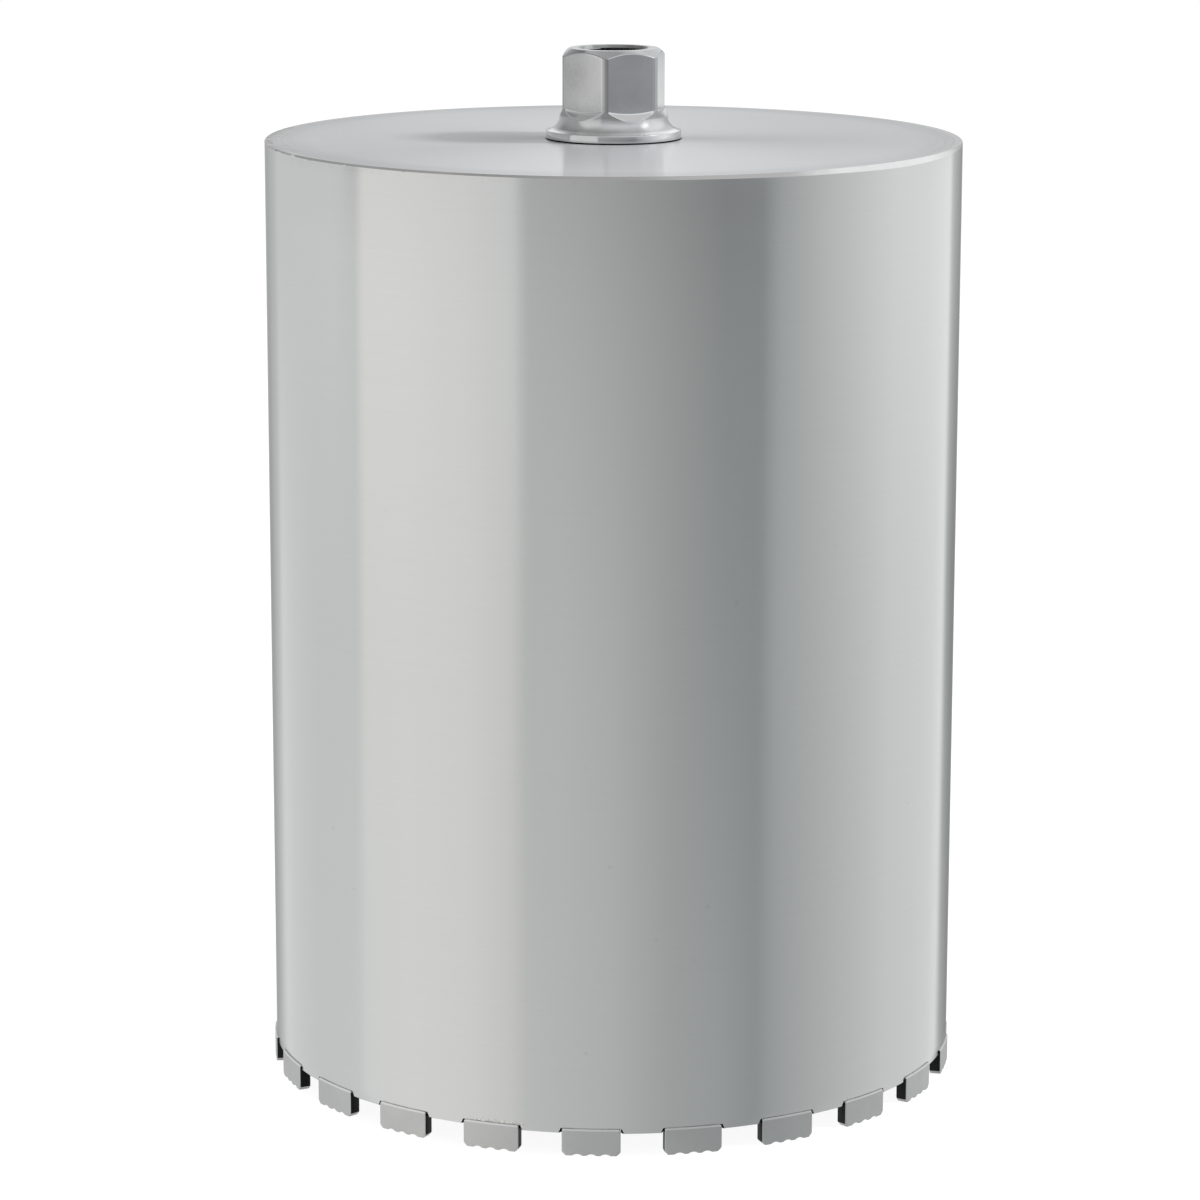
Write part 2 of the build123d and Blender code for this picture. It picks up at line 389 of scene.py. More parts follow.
def hub_section(azimuth):
    """Return the hub's outer skin at an azimuth, from the spigot's foot up to the top face."""
    relief = FLANGE_RADIUS - FLANGE_RELIEF_WIDTH
    base = PLATE_TOP
    edge = FLANGE_EDGE
    points = [
        (SPIGOT_RADIUS - edge, HUB_BOTTOM),
        (SPIGOT_RADIUS, HUB_BOTTOM + edge),
        (SPIGOT_RADIUS, base),
        (relief, base),
        (relief, base + FLANGE_RELIEF_HEIGHT),
        (FLANGE_RADIUS - edge / 2, base + FLANGE_RELIEF_HEIGHT),
        (FLANGE_RADIUS, base + FLANGE_RELIEF_HEIGHT + edge / 2),
        (FLANGE_RADIUS, base + FLANGE_THICKNESS - edge),
        (FLANGE_RADIUS - edge * 0.3, base + FLANGE_THICKNESS - edge * 0.3),
    ]
    points += [(hub_radius(azimuth, height), base + height) for height in hub_heights()]
    return points


def thread_radius(azimuth, height):
    """Return the thread's radius in the bore, deeper between its narrow crests."""
    crest = 0.12
    steepness = 1.25
    phase = (height / THREAD_PITCH + azimuth / TURN) % 1.0
    ridge = min(phase, 1 - phase) * 2
    return THREAD_CREST_RADIUS + THREAD_DEPTH * min(1.0, max(0.0, ridge * steepness - crest))


def bore_section(azimuth):
    """Return the bore at an azimuth, from the mouth down to the spigot's foot."""
    start = HUB_TOP - MOUTH_DEPTH
    steps = 110
    run_out = 8
    points = [(MOUTH_RADIUS, HUB_TOP), (THREAD_CREST_RADIUS + THREAD_RELIEF, start)]
    for i in range(1, steps):
        height = start + (HUB_BOTTOM - start) * i / steps
        fade = min(1.0, i / run_out, (steps - i) / run_out)
        deep = thread_radius(azimuth, height) - THREAD_CREST_RADIUS
        points.append((THREAD_CREST_RADIUS + deep * fade, height))
    points.append((THREAD_CREST_RADIUS + THREAD_RELIEF, HUB_BOTTOM))
    return points


def make_hub():
    """Build the flange, neck, hexagon, spigot and threaded bore as one skin."""
    azimuths = evenly(0, TURN, 360)
    data = swept("hub_skin", azimuths, lambda a: hub_section(a) + bore_section(a))
    return new_object("hub_body", data, 35)


# Weld under the plate


def make_hub_weld():
    """Build the bead under the plate with the ripples that a weld has."""
    ripples = 90
    ripple_height = 0.25 * MM
    steps = 8

    def section(azimuth):
        swell = ripple_height * math.sin(azimuth * ripples)
        points = [(SPIGOT_RADIUS, PLATE_BOTTOM)]
        for i in range(steps + 1):
            angle = math.pi / 2 * i / steps
            reach = HUB_WELD_LEG - abs(swell) * math.sin(2 * angle)
            bulge = 0.72 + 0.28 * abs(math.cos(2 * angle))
            r = SPIGOT_RADIUS + reach * math.cos(angle) * bulge
            z = PLATE_BOTTOM - reach * math.sin(angle) * bulge
            points.append((r, z))
        return points

    data = swept("bead", evenly(0, TURN, 540), section)
    return new_object("bead", data, 60)


# Segments


def segment_bottom(along):
    """Return the height of the cutting face at an arc length from the segment's middle."""
    end = SEGMENT_LENGTH / 2 - abs(along)
    height = max(0.0, END_CHAMFER - end)
    radius = (GROOVE_WIDTH**2 / 4 + GROOVE_DEPTH**2) / (2 * GROOVE_DEPTH)
    for index in range(GROOVE_COUNT):
        middle = (index - (GROOVE_COUNT - 1) / 2) * GROOVE_PITCH
        away = abs(along - middle)
        if away < GROOVE_WIDTH / 2:
            groove = GROOVE_DEPTH - radius + math.sqrt(radius**2 - away**2)
            height = max(height, groove)
    return height


def segment_top(along):
    """Return the height of the segment's upper edge at an arc length from its middle."""
    into = TOP_CORNER_RADIUS - (SEGMENT_LENGTH / 2 - abs(along))
    if into <= 0:
        return SEGMENT_HEIGHT
    return SEGMENT_HEIGHT - TOP_CORNER_RADIUS + math.sqrt(max(0.0, TOP_CORNER_RADIUS**2 - into**2))


def segment_columns():
    """Return the arc lengths of a segment's columns, close together at its ends."""
    half = SEGMENT_LENGTH / 2
    close = [half - value * MM for value in (0.0, 0.12, 0.3, 0.5, 0.75, 1.0, 1.3, 1.6, 1.9)]
    middle = evenly(-close[-1], close[-1], 56)[1:]
    return [-value for value in close] + middle + list(reversed(close))


def segment_section(along):
    """Return a segment's section at an arc length from its middle."""
    low = segment_bottom(along)
    high = segment_top(along)
    outer = CUT_RADIUS
    inner = CUT_RADIUS - SEGMENT_THICKNESS
    end = SEGMENT_LENGTH / 2 - abs(along)
    pinch = END_EDGE * max(0.0, 1 - end / END_EDGE) ** 2
    outer -= pinch
    inner += pinch
    middle = (outer + inner) / 2
    side_foot = low + LOWER_EDGE
    side_top = high - BEVEL_HEIGHT
    steps = 8
    points = [(outer, side_foot)]
    points += [(outer, height) for height in stepped(side_foot, side_top, steps)]
    points.append((outer - BEVEL_WIDTH * 0.25, side_top + BEVEL_HEIGHT * 0.4))
    points.append((outer - BEVEL_WIDTH, high))
    points += [(middle, high), (inner + INNER_EDGE, high), (inner, high - INNER_EDGE)]
    points += [(inner, height) for height in stepped(high - INNER_EDGE, side_foot, steps)]
    points.append((inner + LOWER_EDGE * 0.3, low + LOWER_EDGE * 0.3))
    points.append((inner + LOWER_EDGE, low))
    points.append((middle, low))
    points.append((outer - LOWER_EDGE, low))
    points.append((outer - LOWER_EDGE * 0.3, low + LOWER_EDGE * 0.3))
    return points


def make_segment(number):
    """Build a cutting segment, grooved across its cutting face."""
    middle = FIRST_AZIMUTH + (number - 1) * SEGMENT_PITCH
    rows = []
    for along in segment_columns():
        azimuth = middle + math.asin(along / CUT_RADIUS)
        rows.append([around(azimuth, r, z) for r, z in segment_section(along)])
    data = grid_mesh(f"block_{number:02d}", rows, False, True, caps=True)
    return new_object(f"block_{number:02d}", data, 40)


# Materials


class Nodes:
    """A short way to write node trees."""

    def __init__(self, tree):
        self.tree = tree
        tree.nodes.clear()

    def add(self, kind, inputs=None, **settings):
        node = self.tree.nodes.new(kind)
        for key, value in settings.items():
            setattr(node, key, value)
        for key, value in (inputs or {}).items():
            self.put(node.inputs[key], value)
        return node

    def put(self, socket, value):
        if isinstance(value, bpy.types.NodeSocket):
            self.tree.links.new(value, socket)
        else:
            socket.default_value = value

    def math(self, operation, first, second=0.0):
        return self.add("ShaderNodeMath", {0: first, 1: second}, operation=operation).outputs[0]

    def plus(self, first, second):
        return self.math("ADD", first, second)

    def minus(self, first, second):
        return self.math("SUBTRACT", first, second)

    def times(self, first, second):
        return self.math("MULTIPLY", first, second)

    def vector(self, operation, first, second=(0, 0, 0)):
        node = self.add("ShaderNodeVectorMath", {0: first, 1: second}, operation=operation)
        return node.outputs[0]

    def position(self):
        return self.add("ShaderNodeNewGeometry").outputs["Position"]

    def normal(self):
        return self.add("ShaderNodeNewGeometry").outputs["Normal"]

    def radius(self, x, y):
        return self.math("SQRT", self.plus(self.times(x, x), self.times(y, y)))

    def outward(self, x, y):
        """Return the direction away from the axis."""
        return self.vector("NORMALIZE", self.join(x, y, 0.0))

    def from_segment(self, x, y):
        """Return the arc length to the middle of the nearest segment."""
        azimuth = self.math("ARCTAN2", x, self.times(y, -1.0))
        share = self.math("DIVIDE", self.minus(azimuth, FIRST_AZIMUTH), SEGMENT_PITCH)
        wrapped = self.minus(self.math("FRACT", self.plus(share, 0.5)), 0.5)
        return self.times(self.math("ABSOLUTE", wrapped), SEGMENT_PITCH * BARREL_RADIUS)

    def near(self, spots):
        """Return one near any of the spots, given as azimuth, height and reach, and zero elsewhere."""
        found = 0.0
        for degrees, height, reach in spots:
            place = around(math.radians(degrees), BARREL_RADIUS, height)
            node = self.add("ShaderNodeVectorMath", {0: self.position(), 1: place}, operation="DISTANCE")
            close = self.span(node.outputs["Value"], reach, reach * 0.6)
            found = self.math("MAXIMUM", found, close)
        return found

    def split(self, vector):
        """Return the three parts of a vector."""
        return self.add("ShaderNodeSeparateXYZ", {0: vector}).outputs

    def join(self, x, y, z):
        return self.add("ShaderNodeCombineXYZ", {0: x, 1: y, 2: z}).outputs[0]

    def span(self, value, low, high, to_low=0.0, to_high=1.0, smooth=True):
        """Map what lies between low and high to the second pair, with what lies outside held there."""
        kind = "SMOOTHSTEP" if smooth else "LINEAR"
        inputs = {"Value": value, "From Min": low, "From Max": high, "To Min": to_low, "To Max": to_high}
        return self.add("ShaderNodeMapRange", inputs, interpolation_type=kind).outputs["Result"]

    def noise(self, vector, scale, detail=2.0, roughness=0.5):
        inputs = {"Vector": vector, "Scale": scale, "Detail": detail, "Roughness": roughness}
        return self.add("ShaderNodeTexNoise", inputs).outputs["Fac"]

    def streaks(self, x, y, across, broad, fine, detail):
        """Return noise in long streaks, which are thin along one measure."""
        place = self.join(self.times(x, broad), self.times(y, broad), self.times(across, fine))
        return self.noise(place, 1.0, detail)

    def mix(self, factor, first, second):
        node = self.add("ShaderNodeMix", data_type="RGBA")
        self.put(node.inputs[0], factor)
        self.put(node.inputs[6], first)
        self.put(node.inputs[7], second)
        return node.outputs[2]

    def bump(self, height, strength, distance):
        inputs = {"Height": height, "Strength": strength, "Distance": distance}
        return self.add("ShaderNodeBump", inputs).outputs["Normal"]


PLATE_METALLIC = 0.6


def grey(level, warm=0.0):
    """Return a near-grey colour; warm is above zero towards red and below it towards blue."""
    return (level * (1 + warm), level, level * (1 - warm), 1.0)


def new_material(name):
    """Return a material and the short way to its nodes."""
    material = bpy.data.materials.new(name)
    material.use_nodes = True
    return material, Nodes(material.node_tree)


def finish_metal(nodes, colour, roughness, anisotropic=0.0, normal=None, tangent=None, metallic=1.0):
    """Add the shader; what is not metallic is plain scatter, with no clear reflection of its own."""
    shader = nodes.add("ShaderNodeBsdfPrincipled")
    nodes.put(shader.inputs["Base Color"], colour)
    nodes.put(shader.inputs["Metallic"], metallic)
    nodes.put(shader.inputs["Roughness"], roughness)
    shader.inputs["Anisotropic"].default_value = anisotropic
    shader.inputs["Specular IOR Level"].default_value = 0.0
    if normal is not None:
        nodes.put(shader.inputs["Normal"], normal)
    if tangent is not None:
        nodes.put(shader.inputs["Tangent"], tangent)
    output = nodes.add("ShaderNodeOutputMaterial")
    nodes.tree.links.new(shader.outputs[0], output.inputs[0])


# Weld spatter beside the seats: azimuth in degrees, height and reach
SPATTER_SPOTS = ((-18.5, 12.2 * MM, 14.0 * MM), (42.0, 12.4 * MM, 4.0 * MM), (171.0, 12.2 * MM, 7.0 * MM))


def painted_seat_shade(nodes, x, y, z, spatter):
    """Return the painted shade on the tube: in the weld grooves beside the seats and, in patches, as a
    painted shadow line along the seats.
    """
    along = nodes.from_segment(x, y)
    seat_end = SEGMENT_LENGTH / 2
    beside = nodes.span(along, seat_end + 0.6 * MM, seat_end + 0.2 * MM)
    just_above = nodes.span(z, SEGMENT_HEIGHT + 0.4 * MM, SEGMENT_HEIGHT + 0.1 * MM)
    patchy = nodes.span(nodes.noise(nodes.position(), 110.0, 3.0, 0.6), 0.40, 0.60, 0.0, 0.55)
    # Painted shadow: a patchy dark line on the tube just above each segment, at the gap under the seat's
    # roof.
    painted_shade_line = nodes.times(nodes.times(beside, just_above), patchy)
    painted_shade_line = nodes.times(painted_shade_line, nodes.minus(1.0, spatter))
    # Painted shade: the weld grooves beside each seat are darkened.
    sunk = nodes.span(nodes.radius(x, y), BARREL_RADIUS - 0.05 * MM, BARREL_RADIUS - 0.2 * MM)
    low = nodes.span(z, SEGMENT_HEIGHT + 0.4 * MM, SEGMENT_HEIGHT)
    beside_end = nodes.span(along, seat_end + 1.5 * MM, seat_end + 1.3 * MM)
    groove = nodes.times(nodes.times(nodes.times(sunk, low), beside_end), 0.85)
    return nodes.math("MAXIMUM", painted_shade_line, groove)


def barrel_material():
    """Tube steel brushed round its circumference, with painted shade in the weld grooves and along the
    seats.
    """
    material, nodes = new_material("barrel steel")
    x, y, z = nodes.split(nodes.position())
    fine = nodes.streaks(x, y, z, 12, 1500, 4.0)
    broad = nodes.streaks(x, y, z, 6, 60, 3.0)
    colour = nodes.mix(nodes.span(fine, 0.3, 0.7), grey(0.597), grey(0.603))
    pits = nodes.span(nodes.noise(nodes.position(), 190.0, 1.0), 0.78, 0.83, 0.0, 0.10)
    colour = nodes.mix(pits, colour, grey(0.30))
    spatter = nodes.near(SPATTER_SPOTS)
    low = nodes.span(z, SEGMENT_HEIGHT + 2.2 * MM, SEGMENT_HEIGHT + 0.2 * MM)
    spattered = nodes.times(nodes.times(spatter, low), 0.6)
    beads = nodes.noise(nodes.position(), 1300.0, 3.0)
    mottled = nodes.mix(nodes.span(beads, 0.40, 0.60), grey(0.30), grey(0.75, 0.03))
    colour = nodes.mix(spattered, colour, mottled)
    # Painted shade in the weld grooves and along the seats.
    colour = nodes.mix(painted_seat_shade(nodes, x, y, z, spatter), colour, grey(0.15))
    roughness = nodes.span(broad, 0.3, 0.7, 0.145, 0.165)
    normal = nodes.bump(nodes.times(beads, spattered), 0.4, 0.0003)
    upright = nodes.join(0.0, 0.0, 1.0)
    finish_metal(nodes, colour, roughness, 1.0, normal, upright)
    return material


def plate_marks(nodes, x, radius, rings, colour):
    """Darken the plate's colour in specks, towards its rim and in a mottled stain at its left."""
    specks = nodes.span(nodes.noise(nodes.position(), 190.0, 1.0), 0.77, 0.82, 0.0, 0.15)
    colour = nodes.mix(specks, colour, grey(0.35))
    streaky = nodes.span(rings, 0.35, 0.65, 0.25, 0.75)
    margin = nodes.times(nodes.span(radius, MARGIN_START, MARGIN_END), streaky)
    colour = nodes.mix(margin, colour, grey(0.46, -0.03))
    at_left = nodes.span(x, STAIN_RIGHT_END, -MARGIN_END)
    at_rim = nodes.span(radius, STAIN_START, MARGIN_END)
    mottled = nodes.span(nodes.noise(nodes.position(), 160.0, 4.0, 0.65), 0.42, 0.62, 0.0, 0.40)
    stain = nodes.times(nodes.times(at_left, at_rim), mottled)
    return nodes.mix(stain, colour, grey(0.36, 0.02))


def plate_material():
    """Disc steel faced on a lathe, with a painted shade ring round the hub's flange."""
    material, nodes = new_material("plate steel")
    x, y, _ = nodes.split(nodes.position())
    radius = nodes.radius(x, y)
    rings = nodes.streaks(x, y, radius, 15, 900, 4.0)
    clouds = nodes.noise(nodes.position(), 18.0, 3.0)
    colour = nodes.mix(nodes.span(clouds, 0.35, 0.65), grey(0.60, -0.020), grey(0.62, -0.016))
    colour = plate_marks(nodes, x, radius, rings, colour)
    # Painted shade: a dark ring on the plate just round the hub's flange, where the gap under it is.
    painted_shade_line = nodes.span(radius, FLANGE_RADIUS + 0.6 * MM, FLANGE_RADIUS + 0.1 * MM)
    colour = nodes.mix(painted_shade_line, colour, grey(0.04))
    roughness = nodes.span(clouds, 0.3, 0.7, 0.205, 0.18)
    normal = nodes.bump(rings, 0.02, 0.0002)
    finish_metal(nodes, colour, roughness, 0.95, normal, nodes.outward(x, y), PLATE_METALLIC)
    return material


def weld_material():
    """Weld ground flush: brushed round like the barrel at its side, and faced like the plate on top."""
    material, nodes = new_material("ground weld")
    x, y, _ = nodes.split(nodes.position())
    facing_up = nodes.split(nodes.normal())[2]
    spots = nodes.noise(nodes.position(), 220.0, 4.0, 0.6)
    colour = nodes.mix(nodes.span(spots, 0.35, 0.7), grey(0.605), grey(0.585, 0.01))
    at_left = nodes.span(x, -132 * MM, -145 * MM)
    stained = nodes.times(at_left, nodes.span(facing_up, 0.2, 0.6))
    stained = nodes.times(stained, nodes.span(spots, 0.40, 0.60, 0.2, 1.0))
    colour = nodes.mix(stained, colour, grey(0.33, 0.03))
    on_top = nodes.span(facing_up, 0.8, 0.98)
    roughness = nodes.span(spots, 0.3, 0.7, 0.15, 0.18)
    roughness = nodes.plus(roughness, nodes.times(on_top, 0.02))
    upright = nodes.join(0.0, 0.0, 1.0)
    tangent = nodes.mix(nodes.span(facing_up, 0.4, 0.9), upright, nodes.outward(x, y))
    metallic = nodes.minus(1.0, nodes.times(on_top, 1.0 - PLATE_METALLIC))
    finish_metal(nodes, colour, roughness, 1.0, None, tangent, metallic)
    return material


def neck_share(nodes, radius, z):
    """Return one on the hub's turned neck and zero elsewhere."""
    down = nodes.minus(PLATE_TOP + FLANGE_THICKNESS + NECK_RADIUS, z)
    down = nodes.math("MAXIMUM", down, 0.0)
    left = nodes.minus(NECK_RADIUS**2, nodes.times(down, down))
    across = nodes.minus(NECK_RADIUS, nodes.math("SQRT", nodes.math("MAXIMUM", left, 0.0)))
    inside = nodes.minus(nodes.minus(radius, across), CORNER_RADIUS)
    return nodes.times(nodes.span(inside, -0.3 * MM, -0.15 * MM), nodes.span(down, 0.0, 0.5 * MM))


def scoop_share(nodes, radius, z, facing_up, on_neck):
    """Return one on the scoops that the cutter left above the neck and zero elsewhere."""
    share = nodes.times(nodes.span(facing_up, 0.3, 0.6), nodes.minus(1.0, on_neck))
    share = nodes.times(share, nodes.span(z, PLATE_TOP + 15 * MM, PLATE_TOP + 14 * MM))
    return nodes.times(share, nodes.span(radius, 24 * MM, 23.5 * MM))


def painted_hollow_shade(nodes, radius, z):
    """Return the painted shade in the bore, darker deeper down, and on what lies from the undercut of the
    flange down.
    """
    in_bore = nodes.span(radius, THREAD_CREST_RADIUS + 1.8 * MM, THREAD_CREST_RADIUS + 1.0 * MM)
    below_mouth = nodes.span(z, HUB_TOP - 0.2 * MM, HUB_TOP - 6.0 * MM, 0.35, 1.0)
    undercut = nodes.span(z, PLATE_TOP + FLANGE_RELIEF_HEIGHT * 1.2, PLATE_TOP + FLANGE_RELIEF_HEIGHT)
    return nodes.math("MAXIMUM", nodes.times(in_bore, below_mouth), undercut)


def hub_material():
    """Turned and milled hub: soft neck, satin flats, duller turned corners, painted light on scoops and
    neck foot, painted shade in bore and undercut.
    """
    material, nodes = new_material("hub steel")
    x, y, z = nodes.split(nodes.position())
    facing_up = nodes.split(nodes.normal())[2]
    radius = nodes.radius(x, y)
    on_neck = neck_share(nodes, radius, z)
    grain = nodes.noise(nodes.position(), 900.0, 3.0, 0.6)
    clouds = nodes.noise(nodes.position(), 90.0, 3.0)
    colour = nodes.mix(nodes.span(clouds, 0.3, 0.7), grey(0.55, -0.01), grey(0.60, -0.01))
    on_corner = nodes.span(radius, CORNER_RADIUS - 0.35 * MM, CORNER_RADIUS - 0.15 * MM)
    above_neck = nodes.span(z, PLATE_TOP + 9.0 * MM, PLATE_TOP + 11.0 * MM)
    colour = nodes.mix(nodes.times(on_corner, above_neck), colour, grey(0.40, -0.01))
    # Painted light: the upward-facing scoops are given a lighter colour.
    colour = nodes.mix(scoop_share(nodes, radius, z, facing_up, on_neck), colour, grey(0.74))
    # Painted light: the neck's foot is given a much lighter colour to brighten it.
    neck_foot = nodes.span(z, PLATE_TOP + 5.0 * MM, PLATE_TOP + 4.1 * MM)
    colour = nodes.mix(nodes.times(on_neck, neck_foot), colour, grey(0.92))
    # Painted shade in the bore, darker deeper down, and on all that lies below the flange's undercut.
    colour = nodes.mix(painted_hollow_shade(nodes, radius, z), colour, grey(0.05))
    roughness = nodes.span(grain, 0.3, 0.7, 0.065, 0.09)
    roughness = nodes.plus(roughness, nodes.times(on_neck, 0.17))
    normal = nodes.bump(grain, 0.012, 0.0003)
    along_section = nodes.vector("SUBTRACT", (0, 0, 1), nodes.outward(x, y))
    finish_metal(nodes, colour, roughness, 1.0, normal, along_section)
    return material


def segment_material():
    """Sintered cutting metal, dark at its sawn ends, with a painted highlight along its bevelled upper
    edge.
    """
    material, nodes = new_material("segment metal")
    x, y, z = nodes.split(nodes.position())
    normal_x, normal_y, _ = nodes.split(nodes.normal())
    turned = nodes.minus(nodes.times(x, normal_y), nodes.times(y, normal_x))
    endwise = nodes.math("DIVIDE", nodes.math("ABSOLUTE", turned), nodes.radius(x, y))
    grain = nodes.noise(nodes.position(), 1400.0, 4.0, 0.65)
    clouds = nodes.noise(nodes.position(), 60.0, 2.0)
    colour = nodes.mix(nodes.span(clouds, 0.3, 0.7), grey(0.50), grey(0.53))
    # Painted highlight: the bevel along each segment's upper edge, and all above it, is given a light
    # colour.
    bevel_foot = SEGMENT_HEIGHT - BEVEL_HEIGHT
    bevel = nodes.span(z, bevel_foot - 0.1 * MM, bevel_foot + 0.1 * MM)
    colour = nodes.mix(bevel, colour, grey(0.70))
    colour = nodes.mix(nodes.span(endwise, 0.80, 0.95), colour, grey(0.02))
    roughness = nodes.span(grain, 0.3, 0.7, 0.48, 0.56)
    normal = nodes.bump(grain, 0.06, 0.0003)
    finish_metal(nodes, colour, roughness, 0.0, normal)
    return material


# Studio

# The bit stands in a light tent, which its steel mirrors. A ring of panels is a row of
# (azimuth in degrees, level) stops, and each ring is named by what mirrors it.
TENT_RADIUS = 0.45
TENT_TOP = 1.0
SEGMENTS_RING = (
    (-180, 0.95), (-153, 0.95), (-150, 0.41), (-142, 0.46), (-134, 0.65), (-127, 0.95), (-120, 0.90),
    (-100, 0.87), (-80, 0.91), (-77, 1.02), (-60, 1.04), (-40, 0.99), (-28, 0.89), (-23, 0.79),
    (-10, 0.74), (0, 0.70), (16, 0.57), (30, 0.53), (41, 0.45), (47, 0.54), (60, 0.65), (80, 0.81),
    (90, 0.89), (118, 0.95), (127, 1.07), (129, 0.73), (132, 0.49), (144, 0.31), (150, 0.31),
    (153, 0.95), (180, 0.95),
)
LOWER_BARREL_RING = (
    (-180, 0.95), (-153, 0.95), (-150, 0.39), (-142, 0.42), (-134, 0.63), (-130, 0.72), (-127, 0.93),
    (-118, 0.89), (-100, 0.86), (-78.5, 0.88), (-76, 1.03), (-60, 1.03), (-40, 0.99), (-28, 0.90),
    (-23.5, 0.74), (-14, 0.74), (0, 0.67), (16, 0.53), (30, 0.455), (41, 0.42), (46, 0.56), (60, 0.67),
    (80, 0.84), (90, 0.93), (118, 0.98), (127, 1.08), (129, 0.73), (132, 0.48), (140, 0.31),
    (150, 0.27), (153, 0.95), (180, 0.95),
)
UPPER_BARREL_RING = (
    (-180, 0.95), (-153, 0.95), (-150, 0.46), (-142, 0.46), (-138, 0.55), (-130, 0.67), (-127, 0.79),
    (-110, 0.88), (-90, 0.94), (-78.5, 0.91), (-76, 1.10), (-60, 1.09), (-40, 1.02), (-27, 0.95),
    (-23, 0.71), (-10, 0.66), (0, 0.60), (16, 0.50), (30, 0.405), (41, 0.39), (46.5, 0.56), (60, 0.73),
    (80, 0.95), (90, 1.03), (118, 1.10), (127.5, 1.11), (130, 0.72), (136, 0.51), (146, 0.34),
    (150, 0.34), (153, 0.95), (180, 0.95),
)
BARREL_TOP_RING = (
    (-180, 0.95), (-153, 0.95), (-150, 0.46), (-142, 0.46), (-138, 0.55), (-130, 0.67), (-127, 0.79),
    (-110, 0.88), (-90, 0.95), (-78.5, 0.92), (-76, 1.06), (-60, 1.03), (-40, 0.95), (-27, 0.86),
    (-23, 0.64), (-10, 0.58), (0, 0.51), (16, 0.38), (30, 0.285), (41, 0.305), (46.5, 0.54), (60, 0.74),
    (80, 0.95), (90, 1.03), (118, 1.10), (127.5, 1.11), (130, 0.72), (136, 0.51), (146, 0.34),
    (150, 0.34), (153, 0.95), (180, 0.95),
)
FLATS_RING = (
    (-180, 0.80), (-150, 0.75), (-126, 0.78), (-84, 0.80), (-81, 0.52), (-76.3, 0.52), (-75.6, 0.96),
    (-40, 0.98), (-27, 0.90), (-24, 0.68), (0, 0.58), (30, 0.42), (42, 0.44), (60, 0.66), (90, 0.95),
    (130, 0.90), (180, 0.80),
)
ABOVE_FLATS_RING = (
    (-180, 0.30), (-173, 0.38), (-166, 0.56), (-150, 0.60), (-126, 0.60), (-78, 0.54), (-76, 0.98),
    (-27, 0.90), (-25, 0.46), (0, 0.38), (30, 0.32), (37, 0.36), (44, 0.50), (56, 0.72), (70, 0.97),
    (95, 1.30), (126, 0.70), (150, 0.50), (162, 0.46), (172, 0.36), (180, 0.30),
)
FLANGE_RING = (
    (-180, 1.50), (-172, 1.20), (-160, 0.60), (-120, 0.48), (-78, 0.50), (-74, 0.98), (-30, 0.90),
    (-24, 0.55), (0, 0.48), (34, 0.50), (44, 0.75), (69, 1.00), (100, 1.25), (125, 1.35), (140, 0.82),
    (165, 0.90), (172, 1.20), (180, 1.50),
)
NECK_RING = (
    (-180, 1.20), (-172, 1.00), (-155, 0.45), (-140, 0.25), (-120, 0.45), (-78, 0.56), (-74, 1.10),
    (-30, 1.00), (-22, 1.00), (0, 1.15), (40, 1.20), (66, 1.20), (71, 3.00), (80, 3.00), (84, 1.25),
    (100, 1.25), (125, 1.35), (140, 0.85), (165, 0.90), (172, 1.00), (180, 1.20),
)
RIM_WELD_RING = (
    (-180, 1.20), (-172, 1.00), (-155, 0.45), (-140, 0.25), (-120, 0.40), (-78, 0.46), (-74, 1.05),
    (-30, 1.00), (-22, 1.00), (0, 1.10), (40, 1.10), (62, 0.70), (99, 0.70), (101, 1.20),
    (125, 1.30), (140, 0.85), (165, 0.90), (172, 1.00), (180, 1.20),
)


def wall_colour(azimuth, level):
    """Return a wall panel's colour: warm at the front left, bluish where it is darkest, else greenish."""
    red, green, blue = (0.974, 1.0, 0.988)
    if -77 < azimuth < -27:
        red, green, blue = (1.0, 1.0, 0.979)
    if 25 < azimuth < 55:
        red, green, blue = (0.945, 1.0, 1.014)
    return (level * red, level * green, level * blue, 1.0)


def roof_colour(azimuth, level):
    """Return an upper panel's colour: warm at the front left, blue at the front right, else bluish."""
    if -77 < azimuth < -27:
        return grey(level, 0.012)
    return grey(level, -0.028 if 25 < azimuth < 55 else -0.008)


# The rings above the first: stops, the heights between which each takes over, and its colours
TENT_RINGS = (
    (LOWER_BARREL_RING, -0.04, 0.145, wall_colour),
    (UPPER_BARREL_RING, 0.145, 0.325, wall_colour),
    (BARREL_TOP_RING, 0.335, 0.355, wall_colour),
    (FLATS_RING, 0.374, 0.384, roof_colour),
    (ABOVE_FLATS_RING, 0.394, 0.425, roof_colour),
    (FLANGE_RING, 0.45, 0.53, roof_colour),
    (NECK_RING, 0.56, 0.64, roof_colour),
    (RIM_WELD_RING, 0.84, 0.88, roof_colour),
)


def panel_ramp(nodes, turn, stops, colour_of):
    """Return the colour of a tent ring at a share of a full turn, counted from behind."""
    ramp = nodes.add("ShaderNodeValToRGB", {0: turn})
    elements = ramp.color_ramp.elements
    elements[0].position = 0.0
    elements[1].position = 1.0
    elements[0].color = colour_of(*stops[0])
    elements[1].color = colour_of(*stops[-1])
    for azimuth, level in stops[1:-1]:
        element = elements.new((azimuth + 180) / 360)
        element.color = colour_of(azimuth, level)
    return ramp.outputs[0]


